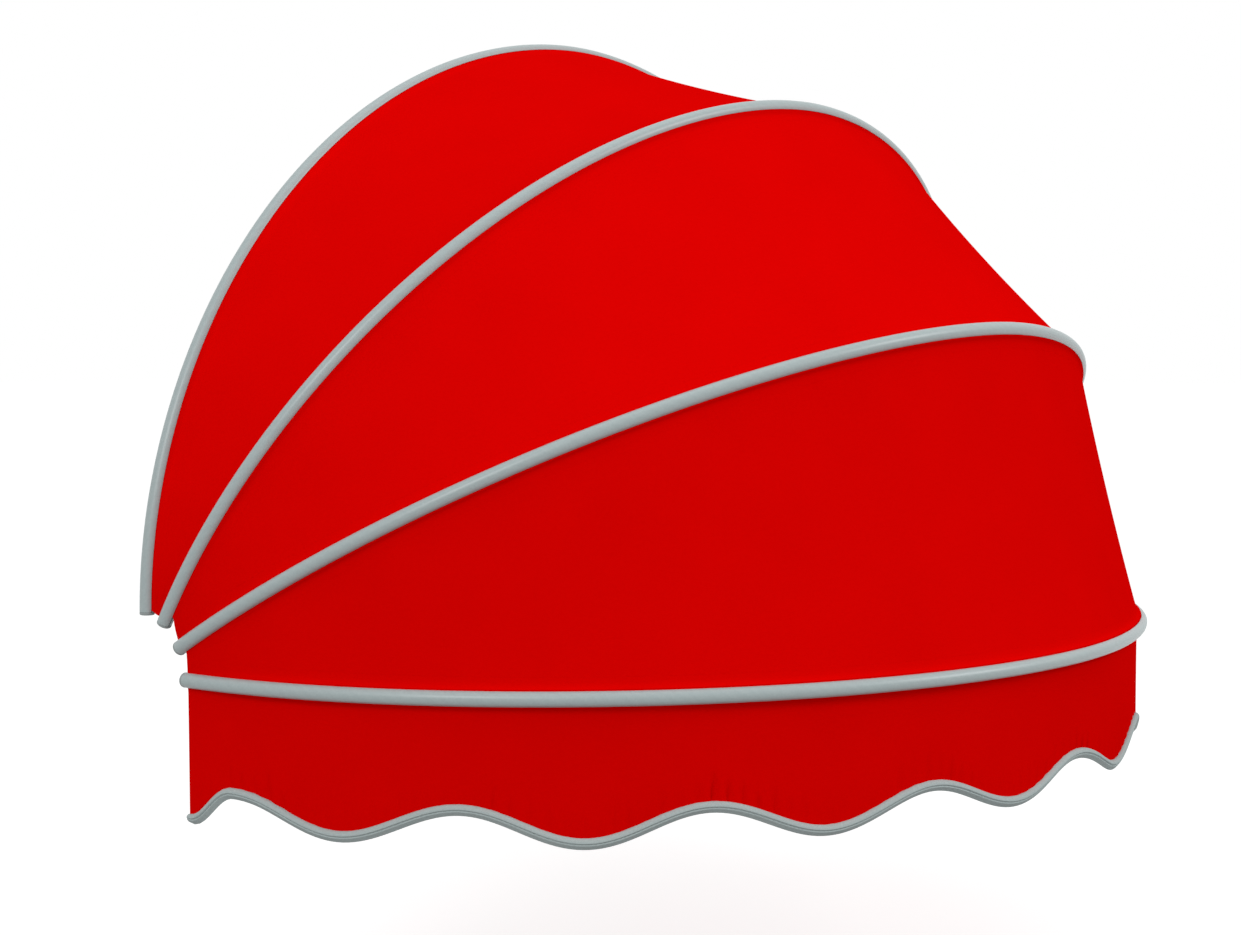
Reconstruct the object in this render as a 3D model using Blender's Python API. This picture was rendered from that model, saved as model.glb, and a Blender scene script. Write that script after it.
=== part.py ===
# Dome awning for a window: four round bows open like a fan from two hinge brackets at
# the wall, with canvas between them and a scalloped valance under the front bow.
# The wall is the plane y = 0, the awning stands out from it towards -y, and z is up.
# The origin is on the back of the top wall clip, level with the crown of the wall bow.

import math

import bmesh
import bpy
from mathutils import Vector

# Bows: half width to the centre of a leg, rise along the bow's own plane, distance of
# a bow's end from the fan's axis, and how full the curve is (2 would be an ellipse)
halfWidth = 0.750
bowRise = 0.6886
endRadius = 0.0657
bowFullness = 1.9464
fanAngles = {"wall": 0.0, "upper": 30.0, "middle": 60.0, "front": 90.0}  # degrees from the wall
wallBowLead = 0.0054  # the wall bow stands this far in front of the fan's axis
legRun = 0.060  # the straight first stretch of each leg
archFacets = 19  # straight stretches between the legs, an odd number so the crown is flat

# Bow tube, with a groove on each side that holds the bead at the edge of the cloth
bowRadius = 0.0082
bowWall = 0.0012
arcSteps = 6  # facets from one groove round to the other
grooveLip = 0.0015
chamberDepth = 0.0026
plugHead = 0.0035
plugRound = 0.0010
plugShank = 0.0060
roundSides = 12

# Cloth
clothThickness = 0.0008
beadThickness = 0.0030
beadTaper = 0.0016  # the bead thins to the cloth over this length
clothStandOff = 0.0015  # where the cloth leaves the tube before it turns to the next bow
panelSteps = 3  # flat strips between two bows
panelSag = {"top": 0.004, "middle": 0.007, "front": 0.005}  # pulled in by the tension, at mid span

# Valance: depth below the front bow to the middle of its binding, and its scallops
valanceDepth = 0.133
scallopHeight = 0.017  # above and below that depth
scallopCount = 8
scallopEndRun = 0.066  # the short half scallop at each end
scallopEndLow = 0.010  # its lowest point, from the end
stepsPerFacet = 4
bindingHeight = 0.013
bindingThickness = 0.010
bindingGrip = 0.0058  # how deep the cloth's edge sits in the binding
bindingSlack = 0.0009  # from that edge to the floor of the binding's slot
bindingSteps = 8

# Hinge plates, in two layers beside the legs, and the screws through them
linkThickness = 0.0040
linkRadius = 0.0100
seatGap = 0.0050  # from the inner side of a leg's end to the first layer
bossRadius = 0.0070
pivotReach = 0.0143  # from a bow's end up to its pivot
fixingReach = 0.0460  # from a bow's end up to its second screw
wallScrewLow = 0.0160  # from the wall bow's end up to its two screws
wallScrewHigh = 0.0420
screwRadius = 0.0021
screwHeadRadius = 0.0042
screwHeadHeight = 0.0035
screwGrip = 0.0030  # past the inner face of the tube's wall
screwSides = 10

# Wall fixings
clipThickness = 0.0040
clipWidth = 0.030
clipTab = 0.026  # below the upright, with the hole for the wall screw
clipRise = 0.0040  # the upright reaches this far past the tube's middle
clipReach = 0.0010  # the foot ends this far past the middle of the tube, out of sight behind it
topClipReach = 0.0080  # the top clip's foot goes further, with the origin on its back
clipFacets = {"left": 5, "top": 10, "right": 15}  # counted from the left end of the bow
flangeThickness = 0.0040
flangeWidth = 0.036
flangeMargin = 0.0080  # above and below the ear's screws
wallHoleRadius = 0.0028
wallHoleSpacing = 0.032

# Clearances
fitGap = 0.0003  # between fixed pieces
runGap = 0.0005  # between plates that turn against each other

# Sizes that follow from those above
bowNames = list(fanAngles)
sides = {"left": -1, "right": 1}
layerOne = halfWidth - bowRadius - seatGap  # outer faces of the two plate layers
layerTwo = layerOne - linkThickness - runGap
chamberTop = bowRadius - grooveLip
chamberFloor = chamberTop - chamberDepth
coreHalf = chamberFloor - bowWall
coreReach = bowRadius - bowWall
mouthHalf = clothThickness / 2 + fitGap
chamberHalf = beadThickness / 2 + fitGap
wallStandoff = bowRadius + fitGap + clipThickness
fanY = wallBowLead - wallStandoff
fanZ = -(endRadius + bowRise)
screwHole = screwRadius + fitGap
legScrews = {bow: (pivotReach, fixingReach) for bow in bowNames}
legScrews["wall"] = (wallScrewLow, wallScrewHigh)


def clearScene():
    for thing in list(bpy.data.objects):
        bpy.data.objects.remove(thing, do_unlink=True)


def makeMaterial(name, colour, roughness, metallic):
    material = bpy.data.materials.new(name)
    material.use_nodes = True
    shader = material.node_tree.nodes["Principled BSDF"]
    shader.inputs["Base Color"].default_value = (*colour, 1)
    shader.inputs["Roughness"].default_value = roughness
    shader.inputs["Metallic"].default_value = metallic
    material.diffuse_color = (*colour, 1)
    return material


# Directions. Out is the distance in front of the fan's axis and up the height above it.
def fromFan(x, out, up):
    return Vector((x, fanY - out, fanZ + up))


def bowLead(bow):
    return wallBowLead if bow == "wall" else 0.0


def alongBow(bow):
    angle = math.radians(fanAngles[bow])
    return Vector((0, -math.sin(angle), math.cos(angle)))


def acrossBow(bow):
    angle = math.radians(fanAngles[bow])
    return Vector((0, -math.cos(angle), -math.sin(angle)))


def onBow(bow, x, radius):
    return fromFan(x, bowLead(bow), 0) + alongBow(bow) * radius


def pivotOf(bow):
    return onBow(bow, 0, endRadius + pivotReach)


# The bow's outline in its own plane, as (x, distance from the fan's axis)
def archPoint(turn):
    power = 2 / bowFullness
    x = -math.copysign(abs(math.cos(turn)) ** power, math.cos(turn)) * halfWidth
    return Vector((x, endRadius + bowRise * math.sin(turn) ** power))


def bowPath():
    firstTurn = math.asin((legRun / bowRise) ** (bowFullness / 2))
    turns = [firstTurn + (math.pi - 2 * firstTurn) * k / archFacets for k in range(archFacets + 1)]
    path = [archPoint(turn) for turn in turns]
    legEnds = []
    for footX, knee in ((-halfWidth, path[0]), (halfWidth, path[-1])):
        foot = Vector((footX, endRadius))
        legEnds.append(foot + (knee - foot).normalized() * plugHead)
    return [legEnds[0]] + path + [legEnds[1]], [0.0] + turns + [math.pi]


# At each point of the path: the point, the mitred normal that points away from the middle
def pathNormals(path):
    normals = []
    for k, point in enumerate(path):
        runs = []
        if k > 0:
            runs.append((point - path[k - 1]).normalized())
        if k < len(path) - 1:
            runs.append((path[k + 1] - point).normalized())
        run = sum(runs, Vector((0, 0))).normalized()
        normals.append(Vector((-run.y, run.x)) / run.dot(runs[0]))
    return normals


# Stations along a bow, each with its place and the two directions of the tube's section
def bowStations(bow):
    path, turns = bowPath()
    stations = []
    for point, normal, turn in zip(path, pathNormals(path), turns):
        outward = Vector((normal.x, 0, 0)) + alongBow(bow) * normal.y
        stations.append((onBow(bow, point.x, point.y), outward, acrossBow(bow), turn))
    return stations


def legX(radius):
    knee = archPoint(math.asin((legRun / bowRise) ** (bowFullness / 2)))
    return halfWidth - (halfWidth + knee.x) * (radius - endRadius) / (knee.y - endRadius)


# Meshes
def finish(name, mesh, material, body, isCutter=False):
    bmesh.ops.recalc_face_normals(mesh, faces=mesh.faces)
    origin = body.matrix_world.translation if body else Vector((0, 0, 0))
    bmesh.ops.translate(mesh, verts=mesh.verts, vec=-origin)
    data = bpy.data.meshes.new(name)
    mesh.to_mesh(data)
    mesh.free()
    solid = bpy.data.objects.new(name, data)
    bpy.context.scene.collection.objects.link(solid)
    solid.parent = body
    if isCutter:
        solid.hide_render = True
        solid.display_type = "WIRE"
    else:
        data.materials.append(material)
        data.shade_smooth()
        data.set_sharp_from_angle(angle=math.radians(35))
    return solid


def loft(mesh, rings):
    loops = [[mesh.verts.new(point) for point in ring] for ring in rings]
    for near, far in zip(loops, loops[1:]):
        for k in range(len(near)):
            mesh.faces.new((near[k - 1], near[k], far[k], far[k - 1]))
    return loops


def solidLoft(name, rings, material, body, isCutter=False):
    mesh = bmesh.new()
    loops = loft(mesh, rings)
    mesh.faces.new(loops[0])
    mesh.faces.new(loops[-1])
    return finish(name, mesh, material, body, isCutter)


# A loft whose rings are a sheet's two faces, listed out and back, closed by a strip at each end
def sheetLoft(name, rings, material, body):
    mesh = bmesh.new()
    loops = loft(mesh, rings)
    for loop in (loops[0], loops[-1]):
        for k in range(len(loop) // 2 - 1):
            mesh.faces.new((loop[k], loop[k + 1], loop[-k - 2], loop[-k - 1]))
    return finish(name, mesh, material, body)


# A loft of two loops, the outer one hollowed by the inner one
def tubeLoft(name, outerRings, innerRings, material, body):
    mesh = bmesh.new()
    outer = loft(mesh, outerRings)
    inner = loft(mesh, innerRings)
    for end in (0, -1):
        rims = outer[end], inner[end]
        edges = [mesh.edges.get((loop[k - 1], loop[k])) for loop in rims for k in range(len(loop))]
        bmesh.ops.triangle_fill(mesh, use_beauty=True, edges=edges)
    return finish(name, mesh, material, body)


# A turned piece: rings of (distance along the axis, radius)
def turned(name, rings, start, axis, material, body, count=roundSides, isCutter=False):
    axis = axis.normalized()
    first = axis.orthogonal().normalized()
    second = axis.cross(first)
    points = []
    for distance, radius in rings:
        ring = []
        for k in range(count):
            angle = 2 * math.pi * (k + 0.5) / count
            spoke = first * math.cos(angle) + second * math.sin(angle)
            ring.append(start + axis * distance + spoke * radius)
        points.append(ring)
    return solidLoft(name, points, material, body, isCutter)


def combine(solid, other, operation):
    modifier = solid.modifiers.new(f"{operation.lower()} {other.name}", "BOOLEAN")
    modifier.operation = operation
    modifier.object = other
    modifier.solver = "EXACT"


# Convex outline round circles of one radius, in (out, up), with any sharp corners added
def outlineRound(centres, radius, corners=()):
    points = [tuple(corner) for corner in corners]
    for centre in centres:
        for k in range(roundSides):
            angle = 2 * math.pi * (k + 0.5) / roundSides
            points.append((centre[0] + radius * math.cos(angle), centre[1] + radius * math.sin(angle)))
    points = sorted(set(points))
    hull = []
    for ordered in (points, points[::-1]):
        part = []
        for point in ordered:
            while len(part) > 1 and turnsLeft(part[-2], part[-1], point) <= 1e-12:
                part.pop()
            part.append(point)
        hull += part[:-1]
    return hull


def turnsLeft(first, second, third):
    return (second[0] - first[0]) * (third[1] - first[1]) - (second[1] - first[1]) * (third[0] - first[0])


def helperBox(name, low, high, body):
    rings = []
    for x in (low[0], high[0]):
        corners = (low[1], low[2]), (high[1], low[2]), (high[1], high[2]), (low[1], high[2])
        rings.append([Vector((x, y, z)) for y, z in corners])
    return solidLoft(name, rings, None, body, isCutter=True)


def bore(solid, name, start, axis, length, radius, body):
    rings = [(0, radius), (length, radius)]
    cutter = turned(f"{name} bore", rings, start, axis, None, body, screwSides, isCutter=True)
    combine(solid, cutter, "DIFFERENCE")


# A hole through the tube's inner wall only
def boreTube(bow, name, centre, outward, body):
    bore(bow, name, centre - outward * (bowRadius + bowWall), outward, 3 * bowWall, screwHole, body)


# A screw whose head lies on the face at start and whose tip ends in the hollow of the tube
def makeScrew(name, start, axis, length, material, body):
    rings = [(-screwHeadHeight, screwHeadRadius), (0, screwHeadRadius), (0, screwRadius),
             (length, screwRadius)]
    turned(name, rings, start - axis * fitGap, axis, material, body, screwSides)


# Places of screws beside a leg, as (out, up)
def seatOn(bow, reach):
    place = onBow(bow, 0, endRadius + reach)
    return fanY - place.y, place.z - fanZ


def makeLegScrew(name, bow, reach, headX, side, material, body):
    start = fromFan(side * headX, *seatOn(bow, reach))
    length = legX(endRadius + reach) - bowRadius + bowWall + screwGrip - headX
    makeScrew(name, start, Vector((side, 0, 0)), length, material, body)


# Bows and their end plugs
def bowOutline():
    start = math.asin(mouthHalf / bowRadius)
    outline = []
    for sign in (1, -1):
        for k in range(arcSteps + 1):
            angle = start + (math.pi - 2 * start) * k / arcSteps
            outline.append((sign * bowRadius * math.sin(angle), sign * bowRadius * math.cos(angle)))
        for a, b in ((chamberHalf, chamberTop), (chamberHalf, chamberFloor), (-chamberHalf, chamberFloor),
                     (-chamberHalf, chamberTop)):
            outline.append((sign * a, -sign * b))
    return outline


def coreOutline():
    corner = math.sqrt(coreReach ** 2 - coreHalf ** 2)
    right = [(corner, coreHalf), (coreReach, 0), (corner, -coreHalf)]
    return right + [(-a, b) for a, b in reversed(right)]


def sweepAlong(stations, outline):
    return [[point + outward * a + across * b for a, b in outline] for point, outward, across, _ in stations]


def makeBow(bow, material, body):
    stations = bowStations(bow)
    outer, inner = sweepAlong(stations, bowOutline()), sweepAlong(stations, coreOutline())
    solid = tubeLoft(f"{bow}_bow", outer, inner, material, body)
    for sideName, side in sides.items():
        for reach in legScrews[bow]:
            centre = fromFan(side * legX(endRadius + reach), *seatOn(bow, reach))
            boreTube(solid, f"{bow} {sideName} {reach}", centre, Vector((side, 0, 0)), body)
    return solid


def makePlug(bow, sideName, material, body):
    stations = bowStations(bow)
    end, inner = (stations[0], stations[1]) if sideName == "left" else (stations[-1], stations[-2])
    axis = (inner[0] - end[0]).normalized()
    rings = [(-plugHead, bowRadius - plugRound), (plugRound - plugHead, bowRadius), (-fitGap, bowRadius),
             (-fitGap, coreHalf - fitGap), (plugShank, coreHalf - fitGap)]
    turned(f"{bow}_bow_plug_{sideName}", rings, end[0], axis, material, body)


# Cloth, as a list of (place, normal, half thickness) across the sheet at one station
def beadEdge(point, outward, across):
    bead, cloth = beadThickness / 2, clothThickness / 2
    beadEnd = chamberTop - 2 * fitGap
    profile = [(chamberFloor + fitGap, bead), (beadEnd, bead), (beadEnd + beadTaper, cloth),
               (bowRadius + clothStandOff, cloth)]
    return [(point + across * b, outward, half) for b, half in profile]


def sheetRing(line):
    return [p + n * half for p, n, half in line] + [p - n * half for p, n, half in reversed(line)]


def makePanel(name, nearBow, farBow, sag, material, body):
    rings = []
    for near, far in zip(bowStations(nearBow), bowStations(farBow)):
        nearEdge = beadEdge(near[0], near[1], near[2])
        farEdge = beadEdge(far[0], far[1], -far[2])
        normal = (near[1] + far[1]).normalized()
        start, end = nearEdge[-1][0], farEdge[-1][0]
        middle = []
        for k in range(1, panelSteps):
            share = k / panelSteps
            inward = normal * sag * 4 * share * (1 - share) * math.sin(near[3])
            middle.append((start.lerp(end, share) - inward, normal, clothThickness / 2))
        rings.append(sheetRing(nearEdge + middle + farEdge[::-1]))
    return sheetLoft(name, rings, material, body)


# Points along the front bow, closer together than its facets, each with its outward direction
def hemStations():
    stations = bowStations("front")
    line = []
    for near, far in zip(stations, stations[1:]):
        for k in range(stepsPerFacet):
            share = k / stepsPerFacet
            line.append((near[0].lerp(far[0], share), near[1].lerp(far[1], share)))
    line.append((stations[-1][0], stations[-1][1]))
    return line


def hemDepths(line):
    travelled = [0.0]
    for near, far in zip(line, line[1:]):
        travelled.append(travelled[-1] + (far[0] - near[0]).length)
    whole = travelled[-1]
    pitch = (whole - 2 * scallopEndRun) / scallopCount
    depths = []
    for run in travelled:
        fromEnd = min(run, whole - run)
        if fromEnd < scallopEndRun:
            swing = -math.cos(math.pi * (fromEnd - scallopEndLow) / (scallopEndRun - scallopEndLow))
        else:
            swing = math.cos(2 * math.pi * (run - scallopEndRun) / pitch)
        depths.append(valanceDepth - scallopHeight * swing)
    return depths


def makeValance(material, body):
    down = acrossBow("front")
    line = hemStations()
    rings = []
    for (point, outward), depth in zip(line, hemDepths(line)):
        edge = beadEdge(point, outward, down)
        hem = point + down * depth, outward, clothThickness / 2
        rings.append(sheetRing(edge[:-1] + [hem]))
    return sheetLoft("valance", rings, material, body)


# The binding's section: an oval with a slot from above, whose floor clears the cloth's edge
def bindingOutline():
    half, tall = bindingThickness / 2, bindingHeight / 2
    floor = bindingGrip - tall + bindingSlack
    outline = [(mouthHalf, floor)]
    lipAngle = math.asin(mouthHalf / half)
    for k in range(bindingSteps + 1):
        angle = lipAngle + (2 * math.pi - 2 * lipAngle) * k / bindingSteps
        outline.append((half * math.sin(angle), -tall * math.cos(angle)))
    return outline + [(-mouthHalf, floor)]


def makeBinding(material, body):
    down = acrossBow("front")
    line = hemStations()
    places = [point + down * depth for (point, _), depth in zip(line, hemDepths(line))]
    rings = []
    for k, place in enumerate(places):
        run = (places[min(k + 1, len(places) - 1)] - places[max(k - 1, 0)]).normalized()
        outward = line[k][1]
        below = run.cross(outward).normalized()
        centre = place - below * (bindingGrip - bindingHeight / 2)
        rings.append([centre + outward * a + below * b for a, b in bindingOutline()])
    return solidLoft("valance_binding", rings, material, body)


# Hinge plates, each with the bosses that reach across to the legs
def makePlate(name, seats, corners, layer, bosses, side, material, body):
    outline = outlineRound([seatOn(*seat) for seat in seats], linkRadius, corners)
    rings = [[fromFan(side * x, *place) for place in outline] for x in (layer, layer - linkThickness)]
    solid = solidLoft(name, rings, material, body)
    sideways = Vector((side, 0, 0))
    for bow, reach in bosses:
        start = fromFan(side * (layer - linkThickness / 2), *seatOn(bow, reach))
        length = legX(endRadius + reach + bossRadius) - bowRadius - fitGap - layer + linkThickness / 2
        boss = turned(f"{name} {bow} {reach} boss", [(0, bossRadius), (length, bossRadius)], start, sideways,
                      None, body, isCutter=True)
        combine(solid, boss, "UNION")
    return solid


def borePlate(solid, seats, side, body):
    innerX = layerTwo - 2 * linkThickness
    for bow, reach in seats:
        start = fromFan(side * innerX, *seatOn(bow, reach))
        bore(solid, f"{solid.name} {bow} {reach}", start, Vector((side, 0, 0)), halfWidth - innerX,
             screwHole, body)


def makeBracket(sideName, material, body):
    side = sides[sideName]
    flangeLow = endRadius + wallScrewLow - flangeMargin
    flangeHigh = endRadius + wallScrewHigh + flangeMargin
    wallFace = fanY
    seats = [("wall", wallScrewLow), ("wall", wallScrewHigh), ("upper", pivotReach)]
    corners = (wallFace, flangeLow), (wallFace, flangeHigh)
    solid = makePlate(f"hinge_bracket_{sideName}", seats, corners, layerOne, seats, side, material, body)
    nearX, farX = sorted((side * (layerOne - linkThickness / 2), side * (layerOne - flangeWidth)))
    flange = helperBox(f"{solid.name} flange", (nearX, -flangeThickness, fanZ + flangeLow),
                       (farX, 0, fanZ + flangeHigh), body)
    combine(solid, flange, "UNION")
    borePlate(solid, seats, side, body)
    holeX = side * (layerOne - (linkThickness + flangeWidth) / 2)
    for offset in (-wallHoleSpacing / 2, wallHoleSpacing / 2):
        start = Vector((holeX, -2 * flangeThickness, fanZ + (flangeLow + flangeHigh) / 2 + offset))
        bore(solid, f"{solid.name} wall {offset}", start, Vector((0, 1, 0)), 3 * flangeThickness,
             wallHoleRadius, body)


# A link carries its own bow, and the pivot of the next bow where there is one
def makeLink(bow, nextBow, layer, sideName, material, body):
    seats = [(bow, pivotReach), (bow, fixingReach)] + ([(nextBow, pivotReach)] if nextBow else [])
    bosses = seats if layer == layerOne else [(bow, fixingReach)]
    side = sides[sideName]
    solid = makePlate(f"{bow}_link_{sideName}", seats, (), layer, bosses, side, material, body)
    borePlate(solid, seats, side, body)


# Wall clips, on straight stretches of the wall bow: an angle with a foot behind the tube
def makeClip(clipName, wallBow, material, body):
    path, _ = bowPath()
    near, far = path[clipFacets[clipName]], path[clipFacets[clipName] + 1]
    flatRun = (far - near).normalized()
    run = Vector((flatRun.x, 0, flatRun.y))
    outward = Vector((-flatRun.y, 0, flatRun.x))
    forward = acrossBow("wall")
    centre = onBow("wall", *((near + far) / 2))
    upright, foot = -(bowRadius + fitGap), -wallStandoff
    footEnd = topClipReach if clipName == "top" else clipReach
    upperFoot = foot + clipThickness
    outline = [(footEnd, foot), (footEnd, upperFoot), (upright, upperFoot), (upright, clipRise),
               (upright - clipThickness, clipRise), (upright - clipThickness, upperFoot),
               (upright - clipThickness - clipTab, upperFoot), (upright - clipThickness - clipTab, foot)]
    rings = [[centre + run * reach + outward * a + forward * b for a, b in outline]
             for reach in (-clipWidth / 2, clipWidth / 2)]
    solid = solidLoft(f"wall_clip_{clipName}", rings, material, body)
    bore(solid, f"{solid.name} upright", centre + outward * (upright - 2 * clipThickness), outward,
         3 * clipThickness, screwHole, body)
    tabPlace = centre + outward * (upright - clipThickness - clipTab / 2) + forward * (foot - clipThickness)
    bore(solid, f"{solid.name} tab", tabPlace, forward, 3 * clipThickness, wallHoleRadius, body)
    headX = upright - clipThickness
    length = bowWall + screwGrip - bowRadius - headX
    makeScrew(f"wall_clip_screw_{clipName}", centre + outward * headX, outward, length, material, body)
    boreTube(wallBow, f"wall {clipName}", centre, outward, body)


# An empty on the axis that a bow turns about
def makePivot(name, place, parent):
    pivot = bpy.data.objects.new(name, None)
    bpy.context.scene.collection.objects.link(pivot)
    pivot.parent = parent
    pivot.location = place - (parent.matrix_world.translation if parent else Vector((0, 0, 0)))
    bpy.context.view_layer.update()
    return pivot


def main():
    clearScene()
    tubeGrey = makeMaterial("bow aluminium", (0.36, 0.41, 0.41), 0.42, 0.55)
    plugGrey = makeMaterial("plug nylon", (0.25, 0.28, 0.28), 0.55, 0.0)
    steel = makeMaterial("hinge steel", (0.52, 0.53, 0.54), 0.35, 1.0)
    canvas = makeMaterial("red canvas", (0.72, 0.0, 0.0), 0.85, 0.0)
    tape = makeMaterial("grey binding", (0.36, 0.41, 0.41), 0.8, 0.0)

    bodies = {"wall": None}
    for near, far in zip(bowNames, bowNames[1:]):
        bodies[far] = makePivot(f"{far}_pivot", pivotOf(far), bodies[near])

    bows = {}
    for bow in bowNames:
        bows[bow] = makeBow(bow, tubeGrey, bodies[bow])
        for sideName in sides:
            makePlug(bow, sideName, plugGrey, bodies[bow])

    for (name, sag), near, far in zip(panelSag.items(), bowNames, bowNames[1:]):
        makePanel(f"canvas_panel_{name}", near, far, sag, canvas, bodies[near])
    makeValance(canvas, bodies["front"])
    makeBinding(tape, bodies["front"])

    innerOne, innerTwo = layerOne - linkThickness, layerTwo - linkThickness
    for sideName, side in sides.items():
        makeBracket(sideName, steel, bodies["wall"])
        makeLink("upper", "middle", layerTwo, sideName, steel, bodies["upper"])
        makeLink("middle", "front", layerOne, sideName, steel, bodies["middle"])
        makeLink("front", None, layerTwo, sideName, steel, bodies["front"])
        for place, reach in zip(("low", "high"), legScrews["wall"]):
            makeLegScrew(f"wall_bow_screw_{place}_{sideName}", "wall", reach, innerOne, side, steel,
                         bodies["wall"])
        for bow, fixingX in (("upper", innerTwo), ("middle", innerOne), ("front", innerTwo)):
            for use, reach, headX in (("pivot", pivotReach, innerTwo), ("bow", fixingReach, fixingX)):
                makeLegScrew(f"{bow}_{use}_screw_{sideName}", bow, reach, headX, side, steel, bodies[bow])

    for clipName in clipFacets:
        makeClip(clipName, bows["wall"], steel, bodies["wall"])


main()
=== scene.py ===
import math

import bmesh
import bpy
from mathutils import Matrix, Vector, noise


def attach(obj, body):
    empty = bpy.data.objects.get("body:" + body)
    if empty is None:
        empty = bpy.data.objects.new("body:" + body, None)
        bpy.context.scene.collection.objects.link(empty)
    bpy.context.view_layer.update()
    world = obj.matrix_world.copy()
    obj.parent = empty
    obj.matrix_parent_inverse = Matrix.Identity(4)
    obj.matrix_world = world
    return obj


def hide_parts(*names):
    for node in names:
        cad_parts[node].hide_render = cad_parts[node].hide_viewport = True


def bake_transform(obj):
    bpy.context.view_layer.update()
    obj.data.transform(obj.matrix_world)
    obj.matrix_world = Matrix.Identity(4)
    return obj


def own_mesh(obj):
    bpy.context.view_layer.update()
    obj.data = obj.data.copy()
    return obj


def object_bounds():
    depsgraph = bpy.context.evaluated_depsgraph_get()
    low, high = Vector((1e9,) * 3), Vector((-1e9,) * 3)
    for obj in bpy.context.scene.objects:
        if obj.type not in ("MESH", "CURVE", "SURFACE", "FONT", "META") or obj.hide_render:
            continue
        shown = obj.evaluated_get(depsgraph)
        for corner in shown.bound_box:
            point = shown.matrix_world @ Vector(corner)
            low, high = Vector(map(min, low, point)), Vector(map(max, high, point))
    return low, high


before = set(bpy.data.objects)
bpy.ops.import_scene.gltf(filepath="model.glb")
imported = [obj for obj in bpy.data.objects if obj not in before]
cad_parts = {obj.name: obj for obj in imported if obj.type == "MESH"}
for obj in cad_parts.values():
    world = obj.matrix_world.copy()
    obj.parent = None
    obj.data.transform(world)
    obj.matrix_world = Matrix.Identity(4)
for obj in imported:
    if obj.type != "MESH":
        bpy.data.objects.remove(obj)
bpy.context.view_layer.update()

mapName = "surfaceMap"  # every piece is laid out in metres on this map, for its weave or grain

# the fan of bows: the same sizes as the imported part, in metres and degrees
fan = {
    "halfWidth": 0.750,
    "rise": 0.6886,
    "endRadius": 0.0657,
    "fullness": 1.9464,  # 2 would be an ellipse
    "angles": {"wall": 0.0, "upper": 30.0, "middle": 60.0, "front": 90.0},
    "wallLead": 0.0054,
    "axisY": -0.0071,
    "axisZ": -0.7543,
    "stations": 200,
    "fineSteps": 6000,
}
sides = {"left": -1, "right": 1}


# places and directions in the fan
def fromFan(x, out, up):
    return Vector((x, fan["axisY"] - out, fan["axisZ"] + up))


def alongAngle(degrees):
    angle = math.radians(degrees)
    return Vector((0, -math.sin(angle), math.cos(angle)))


def acrossAngle(degrees):
    angle = math.radians(degrees)
    return Vector((0, -math.cos(angle), -math.sin(angle)))


def onBow(bow, x, radius):
    lead = fan["wallLead"] if bow == "wall" else 0
    return fromFan(x, lead, 0) + alongAngle(fan["angles"][bow]) * radius


def archPoint(turn):
    power = 2 / fan["fullness"]
    x = -math.copysign(abs(math.cos(turn)) ** power, math.cos(turn)) * fan["halfWidth"]
    return Vector((x, fan["endRadius"] + fan["rise"] * math.sin(turn) ** power))


# the arch once, walked at even steps: place, outward direction, distance from the end, share of the turn
def walkArch(steps, trim):
    fine = fan["fineSteps"]
    line = [archPoint(math.pi * k / fine) for k in range(fine + 1)]
    travelled = [0.0]
    for near, far in zip(line, line[1:]):
        travelled.append(travelled[-1] + (far - near).length)
    walked, k = [], 0
    for step in range(steps + 1):
        run = trim + (travelled[-1] - 2 * trim) * step / steps
        while k < fine - 1 and travelled[k + 1] < run:
            k += 1
        share = (run - travelled[k]) / (travelled[k + 1] - travelled[k])
        near, far = line[max(k - 3, 0)], line[min(k + 4, fine)]
        tangent = (far - near).normalized()
        walked.append((line[k].lerp(line[k + 1], share), Vector((-tangent.y, tangent.x)), run,
                       math.pi * (k + share) / fine))
    return walked


def bowStations(bow, steps, trim):
    along, across = alongAngle(fan["angles"][bow]), acrossAngle(fan["angles"][bow])
    stations = []
    for flat, normal, run, turn in walkArch(steps, trim):
        outward = Vector((normal.x, 0, 0)) + along * normal.y
        stations.append((onBow(bow, flat.x, flat.y), outward, across, run, turn))
    return stations


# meshes
def objectFrom(name, verts, faces, corners, sharpAngle):
    mesh = bpy.data.meshes.new(name)
    mesh.from_pydata([tuple(v) for v in verts], [], faces)
    layer = mesh.uv_layers.new(name=mapName)
    for loop, corner in zip(layer.data, corners):
        loop.uv = corner
    turned = bmesh.new()
    turned.from_mesh(mesh)
    if turned.calc_volume(signed=True) < 0:
        bmesh.ops.reverse_faces(turned, faces=turned.faces)
        turned.to_mesh(mesh)
    turned.free()
    mesh.shade_smooth()
    mesh.set_sharp_from_angle(angle=math.radians(sharpAngle))
    piece = bpy.data.objects.new(name, mesh)
    bpy.context.scene.collection.objects.link(piece)
    return piece


# distances from the first point of a loop, back to it again
def girthsOf(ring):
    girths = [0.0]
    for k in range(len(ring)):
        girths.append(girths[-1] + (ring[(k + 1) % len(ring)] - ring[k]).length)
    return girths


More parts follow.
